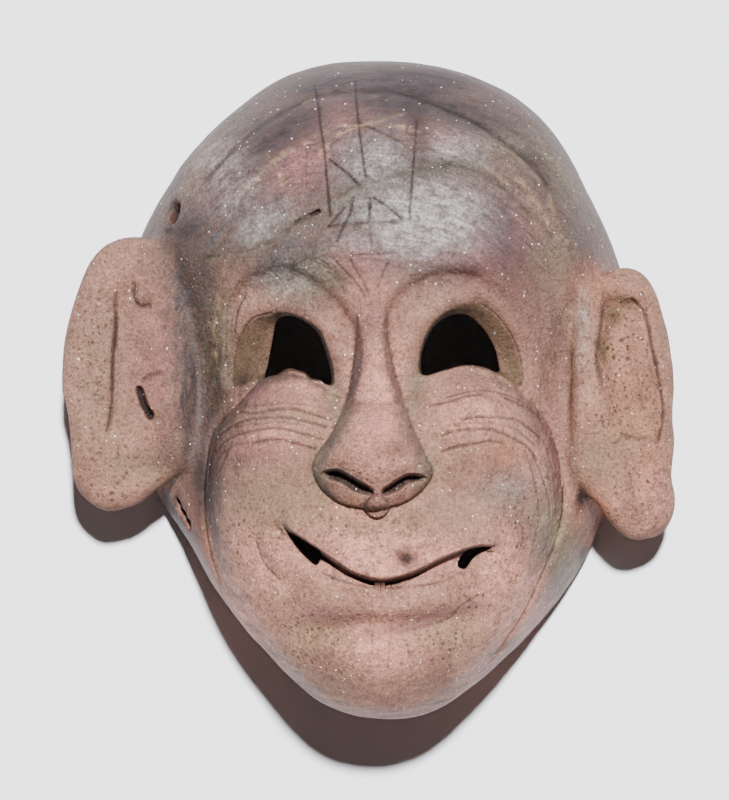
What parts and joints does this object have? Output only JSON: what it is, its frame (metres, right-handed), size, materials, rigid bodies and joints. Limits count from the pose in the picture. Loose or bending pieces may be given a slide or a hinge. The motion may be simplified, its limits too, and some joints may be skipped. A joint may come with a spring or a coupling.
{
  "type": "grinning mask",
  "caption": "Hollow hand-built terracotta mask of a bald, grinning, wrinkled face with open eye holes and large ears.",
  "frame": {"origin": "middle of the bounding box on the plane of the rear rim, which the mask lies on", "axes": "+Z is the way the face looks, +Y points to the crown, +X to the right as one looks at the face"},
  "size_m": [0.1747, 0.187, 0.0794],
  "materials": {
    "terracotta": "unglazed fired clay, burnished at the sides, worn and pitted"
  },
  "bodies": {
    "root": {"mask": "terracotta"}
  },
  "joints": []
}
